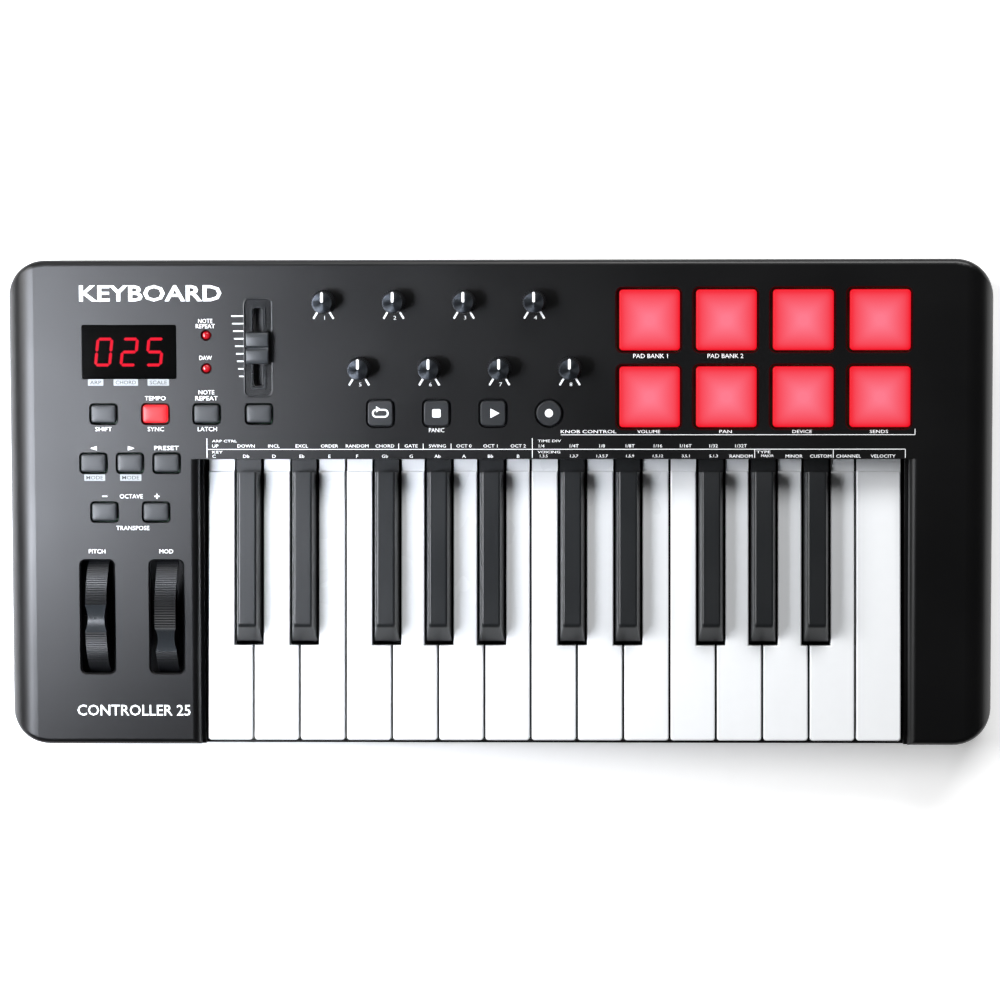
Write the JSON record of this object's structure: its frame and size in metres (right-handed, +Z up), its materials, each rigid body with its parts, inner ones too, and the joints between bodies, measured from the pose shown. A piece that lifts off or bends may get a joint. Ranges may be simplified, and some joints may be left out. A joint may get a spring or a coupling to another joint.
{
  "type": "midi keyboard",
  "caption": "Compact desktop music keyboard controller with black and white keys, knobs, square pads, a fader, two wheels and a small digit display on a sloping panel.",
  "frame": {"origin": "on the table, under the middle of the keyboard's outline", "axes": "+X to the player's right along the keys, +Y to the rear, +Z up"},
  "size_m": [0.498, 0.245, 0.0688],
  "materials": {
    "case_plastic": "fine grained matte moulding",
    "transport_plastic": "satin moulding",
    "lit_button": "lit from below, red",
    "button_plastic": "satin moulding",
    "wheel_plastic": "ribbed rim, polished notch",
    "knob_plastic": "fluted side, turned top",
    "white_key_plastic": "polished moulding",
    "black_key_plastic": "satin moulding",
    "frame_plastic": "plain moulding",
    "spring_steel": "bright strip",
    "circuit_board": "solder-resist green",
    "smoked_window": "smoked acrylic, polished",
    "pad_silicone": "translucent silicone lit from below, red",
    "foot_rubber": "moulded rubber",
    "screw_steel": "black zinc",
    "fader_plastic": "satin moulding",
    "switch_plastic": "satin moulding"
  },
  "bodies": {
    "case": {"top_case": "case_plastic", "bottom_case": "case_plastic", "key_chassis": "frame_plastic", "key_springs": "spring_steel", "key_contact_board": "circuit_board", "control_board": "circuit_board", "display_window": "smoked_window", "pad_sheet": "pad_silicone", "rubber_feet": "foot_rubber", "case_screws": "screw_steel"},
    "pitch_wheel": {"pitch_wheel": "wheel_plastic"},
    "mod_wheel": {"mod_wheel": "wheel_plastic"},
    "fader_cap": {"fader_cap": "fader_plastic"},
    "knob_1": {"knob_1": "knob_plastic"},
    "knob_2": {"knob_2": "knob_plastic"},
    "knob_3": {"knob_3": "knob_plastic"},
    "knob_4": {"knob_4": "knob_plastic"},
    "knob_5": {"knob_5": "knob_plastic"},
    "knob_6": {"knob_6": "knob_plastic"},
    "knob_7": {"knob_7": "knob_plastic"},
    "knob_8": {"knob_8": "knob_plastic"},
    "button_shift": {"button_shift": "button_plastic"},
    "button_tempo": {"button_tempo": "lit_button"},
    "button_note_repeat": {"button_note_repeat": "button_plastic"},
    "button_fader_mode": {"button_fader_mode": "button_plastic"},
    "button_left": {"button_left": "button_plastic"},
    "button_right": {"button_right": "button_plastic"},
    "button_preset": {"button_preset": "button_plastic"},
    "button_octave_down": {"button_octave_down": "button_plastic"},
    "button_octave_up": {"button_octave_up": "button_plastic"},
    "button_loop": {"button_loop": "transport_plastic"},
    "button_stop": {"button_stop": "transport_plastic"},
    "button_play": {"button_play": "transport_plastic"},
    "button_record": {"button_record": "transport_plastic"},
    "power_switch": {"power_switch": "switch_plastic"},
    "key_01_c": {"key_01_c": "white_key_plastic"},
    "key_02_c_sharp": {"key_02_c_sharp": "black_key_plastic"},
    "key_03_d": {"key_03_d": "white_key_plastic"},
    "key_04_d_sharp": {"key_04_d_sharp": "black_key_plastic"},
    "key_05_e": {"key_05_e": "white_key_plastic"},
    "key_06_f": {"key_06_f": "white_key_plastic"},
    "key_07_f_sharp": {"key_07_f_sharp": "black_key_plastic"},
    "key_08_g": {"key_08_g": "white_key_plastic"},
    "key_09_g_sharp": {"key_09_g_sharp": "black_key_plastic"},
    "key_10_a": {"key_10_a": "white_key_plastic"},
    "key_11_a_sharp": {"key_11_a_sharp": "black_key_plastic"},
    "key_12_b": {"key_12_b": "white_key_plastic"},
    "key_13_c": {"key_13_c": "white_key_plastic"},
    "key_14_c_sharp": {"key_14_c_sharp": "black_key_plastic"},
    "key_15_d": {"key_15_d": "white_key_plastic"},
    "key_16_d_sharp": {"key_16_d_sharp": "black_key_plastic"},
    "key_17_e": {"key_17_e": "white_key_plastic"},
    "key_18_f": {"key_18_f": "white_key_plastic"},
    "key_19_f_sharp": {"key_19_f_sharp": "black_key_plastic"},
    "key_20_g": {"key_20_g": "white_key_plastic"},
    "key_21_g_sharp": {"key_21_g_sharp": "black_key_plastic"},
    "key_22_a": {"key_22_a": "white_key_plastic"},
    "key_23_a_sharp": {"key_23_a_sharp": "black_key_plastic"},
    "key_24_b": {"key_24_b": "white_key_plastic"},
    "key_25_c": {"key_25_c": "white_key_plastic"}
  },
  "joints": [
    {"name": "pitch_wheel_turn", "type": "hinge", "parent": "case", "child": "pitch_wheel", "pos_m": [-0.204, -0.05587, 0.02019], "axis": [1, 0, 0], "range_deg": [-25, 25], "stiffness_Nm_per_rad": 0.05},
    {"name": "mod_wheel_turn", "type": "hinge", "parent": "case", "child": "mod_wheel", "pos_m": [-0.1688, -0.05587, 0.02019], "axis": [-1, 0, 0], "range_deg": [0, 43]},
    {"name": "fader_slide", "type": "slide", "parent": "case", "child": "fader_cap", "axis": [0, 0.9961, 0.0878], "range_m": [-0.015, 0.015]},
    {"name": "knob_1_turn", "type": "hinge", "parent": "case", "child": "knob_1", "pos_m": [-0.0882, 0.10074, 0.0611], "axis": [0, -0.0878, 0.9961], "range_deg": [-150, 150]},
    {"name": "knob_2_turn", "type": "hinge", "parent": "case", "child": "knob_2", "pos_m": [-0.0528, 0.10074, 0.0611], "axis": [0, -0.0878, 0.9961], "range_deg": [-150, 150]},
    {"name": "knob_3_turn", "type": "hinge", "parent": "case", "child": "knob_3", "pos_m": [-0.0174, 0.10074, 0.0611], "axis": [0, -0.0878, 0.9961], "range_deg": [-150, 150]},
    {"name": "knob_4_turn", "type": "hinge", "parent": "case", "child": "knob_4", "pos_m": [0.018, 0.10074, 0.0611], "axis": [0, -0.0878, 0.9961], "range_deg": [-150, 150]},
    {"name": "knob_5_turn", "type": "hinge", "parent": "case", "child": "knob_5", "pos_m": [-0.0704, 0.06727, 0.05815], "axis": [0, -0.0878, 0.9961], "range_deg": [-150, 150]},
    {"name": "knob_6_turn", "type": "hinge", "parent": "case", "child": "knob_6", "pos_m": [-0.035, 0.06727, 0.05815], "axis": [0, -0.0878, 0.9961], "range_deg": [-150, 150]},
    {"name": "knob_7_turn", "type": "hinge", "parent": "case", "child": "knob_7", "pos_m": [0.0004, 0.06727, 0.05815], "axis": [0, -0.0878, 0.9961], "range_deg": [-150, 150]},
    {"name": "knob_8_turn", "type": "hinge", "parent": "case", "child": "knob_8", "pos_m": [0.0358, 0.06727, 0.05815], "axis": [0, -0.0878, 0.9961], "range_deg": [-150, 150]},
    {"name": "button_shift_press", "type": "slide", "parent": "case", "child": "button_shift", "axis": [0, -0.0878, 0.9961], "range_m": [-0.0008, 0], "stiffness_N_per_m": 100, "springref_m": 0.003},
    {"name": "button_tempo_press", "type": "slide", "parent": "case", "child": "button_tempo", "axis": [0, -0.0878, 0.9961], "range_m": [-0.0008, 0], "stiffness_N_per_m": 100, "springref_m": 0.003},
    {"name": "button_note_repeat_press", "type": "slide", "parent": "case", "child": "button_note_repeat", "axis": [0, -0.0878, 0.9961], "range_m": [-0.0008, 0], "stiffness_N_per_m": 100, "springref_m": 0.003},
    {"name": "button_fader_mode_press", "type": "slide", "parent": "case", "child": "button_fader_mode", "axis": [0, -0.0878, 0.9961], "range_m": [-0.0008, 0], "stiffness_N_per_m": 100, "springref_m": 0.003},
    {"name": "button_left_press", "type": "slide", "parent": "case", "child": "button_left", "axis": [0, -0.0878, 0.9961], "range_m": [-0.0008, 0], "stiffness_N_per_m": 100, "springref_m": 0.003},
    {"name": "button_right_press", "type": "slide", "parent": "case", "child": "button_right", "axis": [0, -0.0878, 0.9961], "range_m": [-0.0008, 0], "stiffness_N_per_m": 100, "springref_m": 0.003},
    {"name": "button_preset_press", "type": "slide", "parent": "case", "child": "button_preset", "axis": [0, -0.0878, 0.9961], "range_m": [-0.0008, 0], "stiffness_N_per_m": 100, "springref_m": 0.003},
    {"name": "button_octave_down_press", "type": "slide", "parent": "case", "child": "button_octave_down", "axis": [0, -0.0878, 0.9961], "range_m": [-0.0008, 0], "stiffness_N_per_m": 100, "springref_m": 0.003},
    {"name": "button_octave_up_press", "type": "slide", "parent": "case", "child": "button_octave_up", "axis": [0, -0.0878, 0.9961], "range_m": [-0.0008, 0], "stiffness_N_per_m": 100, "springref_m": 0.003},
    {"name": "button_loop_press", "type": "slide", "parent": "case", "child": "button_loop", "axis": [0, -0.0878, 0.9961], "range_m": [-0.0008, 0], "stiffness_N_per_m": 100, "springref_m": 0.003},
    {"name": "button_stop_press", "type": "slide", "parent": "case", "child": "button_stop", "axis": [0, -0.0878, 0.9961], "range_m": [-0.0008, 0], "stiffness_N_per_m": 100, "springref_m": 0.003},
    {"name": "button_play_press", "type": "slide", "parent": "case", "child": "button_play", "axis": [0, -0.0878, 0.9961], "range_m": [-0.0008, 0], "stiffness_N_per_m": 100, "springref_m": 0.003},
    {"name": "button_record_press", "type": "slide", "parent": "case", "child": "button_record", "axis": [0, -0.0878, 0.9961], "range_m": [-0.0008, 0], "stiffness_N_per_m": 100, "springref_m": 0.003},
    {"name": "power_switch_rock", "type": "hinge", "parent": "case", "child": "power_switch", "pos_m": [-0.214, 0.1191, 0.035], "axis": [0, 0, 1], "range_deg": [0, 12]},
    {"name": "key_01_c_press", "type": "hinge", "parent": "case", "child": "key_01_c", "pos_m": [0.027, 0.048, 0.026], "axis": [1, 0, 0], "range_deg": [0, 3.4], "stiffness_Nm_per_rad": 0.3, "springref_deg": -14.32, "deforming": ["key_springs"]},
    {"name": "key_02_c_sharp_press", "type": "hinge", "parent": "case", "child": "key_02_c_sharp", "pos_m": [0.027, 0.048, 0.026], "axis": [1, 0, 0], "range_deg": [0, 3.4], "stiffness_Nm_per_rad": 0.3, "springref_deg": -14.32, "deforming": ["key_springs"]},
    {"name": "key_03_d_press", "type": "hinge", "parent": "case", "child": "key_03_d", "pos_m": [0.027, 0.048, 0.026], "axis": [1, 0, 0], "range_deg": [0, 3.4], "stiffness_Nm_per_rad": 0.3, "springref_deg": -14.32, "deforming": ["key_springs"]},
    {"name": "key_04_d_sharp_press", "type": "hinge", "parent": "case", "child": "key_04_d_sharp", "pos_m": [0.027, 0.048, 0.026], "axis": [1, 0, 0], "range_deg": [0, 3.4], "stiffness_Nm_per_rad": 0.3, "springref_deg": -14.32, "deforming": ["key_springs"]},
    {"name": "key_05_e_press", "type": "hinge", "parent": "case", "child": "key_05_e", "pos_m": [0.027, 0.048, 0.026], "axis": [1, 0, 0], "range_deg": [0, 3.4], "stiffness_Nm_per_rad": 0.3, "springref_deg": -14.32, "deforming": ["key_springs"]},
    {"name": "key_06_f_press", "type": "hinge", "parent": "case", "child": "key_06_f", "pos_m": [0.027, 0.048, 0.026], "axis": [1, 0, 0], "range_deg": [0, 3.4], "stiffness_Nm_per_rad": 0.3, "springref_deg": -14.32, "deforming": ["key_springs"]},
    {"name": "key_07_f_sharp_press", "type": "hinge", "parent": "case", "child": "key_07_f_sharp", "pos_m": [0.027, 0.048, 0.026], "axis": [1, 0, 0], "range_deg": [0, 3.4], "stiffness_Nm_per_rad": 0.3, "springref_deg": -14.32, "deforming": ["key_springs"]},
    {"name": "key_08_g_press", "type": "hinge", "parent": "case", "child": "key_08_g", "pos_m": [0.027, 0.048, 0.026], "axis": [1, 0, 0], "range_deg": [0, 3.4], "stiffness_Nm_per_rad": 0.3, "springref_deg": -14.32, "deforming": ["key_springs"]},
    {"name": "key_09_g_sharp_press", "type": "hinge", "parent": "case", "child": "key_09_g_sharp", "pos_m": [0.027, 0.048, 0.026], "axis": [1, 0, 0], "range_deg": [0, 3.4], "stiffness_Nm_per_rad": 0.3, "springref_deg": -14.32, "deforming": ["key_springs"]},
    {"name": "key_10_a_press", "type": "hinge", "parent": "case", "child": "key_10_a", "pos_m": [0.027, 0.048, 0.026], "axis": [1, 0, 0], "range_deg": [0, 3.4], "stiffness_Nm_per_rad": 0.3, "springref_deg": -14.32, "deforming": ["key_springs"]},
    {"name": "key_11_a_sharp_press", "type": "hinge", "parent": "case", "child": "key_11_a_sharp", "pos_m": [0.027, 0.048, 0.026], "axis": [1, 0, 0], "range_deg": [0, 3.4], "stiffness_Nm_per_rad": 0.3, "springref_deg": -14.32, "deforming": ["key_springs"]},
    {"name": "key_12_b_press", "type": "hinge", "parent": "case", "child": "key_12_b", "pos_m": [0.027, 0.048, 0.026], "axis": [1, 0, 0], "range_deg": [0, 3.4], "stiffness_Nm_per_rad": 0.3, "springref_deg": -14.32, "deforming": ["key_springs"]},
    {"name": "key_13_c_press", "type": "hinge", "parent": "case", "child": "key_13_c", "pos_m": [0.027, 0.048, 0.026], "axis": [1, 0, 0], "range_deg": [0, 3.4], "stiffness_Nm_per_rad": 0.3, "springref_deg": -14.32, "deforming": ["key_springs"]},
    {"name": "key_14_c_sharp_press", "type": "hinge", "parent": "case", "child": "key_14_c_sharp", "pos_m": [0.027, 0.048, 0.026], "axis": [1, 0, 0], "range_deg": [0, 3.4], "stiffness_Nm_per_rad": 0.3, "springref_deg": -14.32, "deforming": ["key_springs"]},
    {"name": "key_15_d_press", "type": "hinge", "parent": "case", "child": "key_15_d", "pos_m": [0.027, 0.048, 0.026], "axis": [1, 0, 0], "range_deg": [0, 3.4], "stiffness_Nm_per_rad": 0.3, "springref_deg": -14.32, "deforming": ["key_springs"]},
    {"name": "key_16_d_sharp_press", "type": "hinge", "parent": "case", "child": "key_16_d_sharp", "pos_m": [0.027, 0.048, 0.026], "axis": [1, 0, 0], "range_deg": [0, 3.4], "stiffness_Nm_per_rad": 0.3, "springref_deg": -14.32, "deforming": ["key_springs"]},
    {"name": "key_17_e_press", "type": "hinge", "parent": "case", "child": "key_17_e", "pos_m": [0.027, 0.048, 0.026], "axis": [1, 0, 0], "range_deg": [0, 3.4], "stiffness_Nm_per_rad": 0.3, "springref_deg": -14.32, "deforming": ["key_springs"]},
    {"name": "key_18_f_press", "type": "hinge", "parent": "case", "child": "key_18_f", "pos_m": [0.027, 0.048, 0.026], "axis": [1, 0, 0], "range_deg": [0, 3.4], "stiffness_Nm_per_rad": 0.3, "springref_deg": -14.32, "deforming": ["key_springs"]},
    {"name": "key_19_f_sharp_press", "type": "hinge", "parent": "case", "child": "key_19_f_sharp", "pos_m": [0.027, 0.048, 0.026], "axis": [1, 0, 0], "range_deg": [0, 3.4], "stiffness_Nm_per_rad": 0.3, "springref_deg": -14.32, "deforming": ["key_springs"]},
    {"name": "key_20_g_press", "type": "hinge", "parent": "case", "child": "key_20_g", "pos_m": [0.027, 0.048, 0.026], "axis": [1, 0, 0], "range_deg": [0, 3.4], "stiffness_Nm_per_rad": 0.3, "springref_deg": -14.32, "deforming": ["key_springs"]},
    {"name": "key_21_g_sharp_press", "type": "hinge", "parent": "case", "child": "key_21_g_sharp", "pos_m": [0.027, 0.048, 0.026], "axis": [1, 0, 0], "range_deg": [0, 3.4], "stiffness_Nm_per_rad": 0.3, "springref_deg": -14.32, "deforming": ["key_springs"]},
    {"name": "key_22_a_press", "type": "hinge", "parent": "case", "child": "key_22_a", "pos_m": [0.027, 0.048, 0.026], "axis": [1, 0, 0], "range_deg": [0, 3.4], "stiffness_Nm_per_rad": 0.3, "springref_deg": -14.32, "deforming": ["key_springs"]},
    {"name": "key_23_a_sharp_press", "type": "hinge", "parent": "case", "child": "key_23_a_sharp", "pos_m": [0.027, 0.048, 0.026], "axis": [1, 0, 0], "range_deg": [0, 3.4], "stiffness_Nm_per_rad": 0.3, "springref_deg": -14.32, "deforming": ["key_springs"]},
    {"name": "key_24_b_press", "type": "hinge", "parent": "case", "child": "key_24_b", "pos_m": [0.027, 0.048, 0.026], "axis": [1, 0, 0], "range_deg": [0, 3.4], "stiffness_Nm_per_rad": 0.3, "springref_deg": -14.32, "deforming": ["key_springs"]},
    {"name": "key_25_c_press", "type": "hinge", "parent": "case", "child": "key_25_c", "pos_m": [0.027, 0.048, 0.026], "axis": [1, 0, 0], "range_deg": [0, 3.4], "stiffness_Nm_per_rad": 0.3, "springref_deg": -14.32, "deforming": ["key_springs"]}
  ]
}
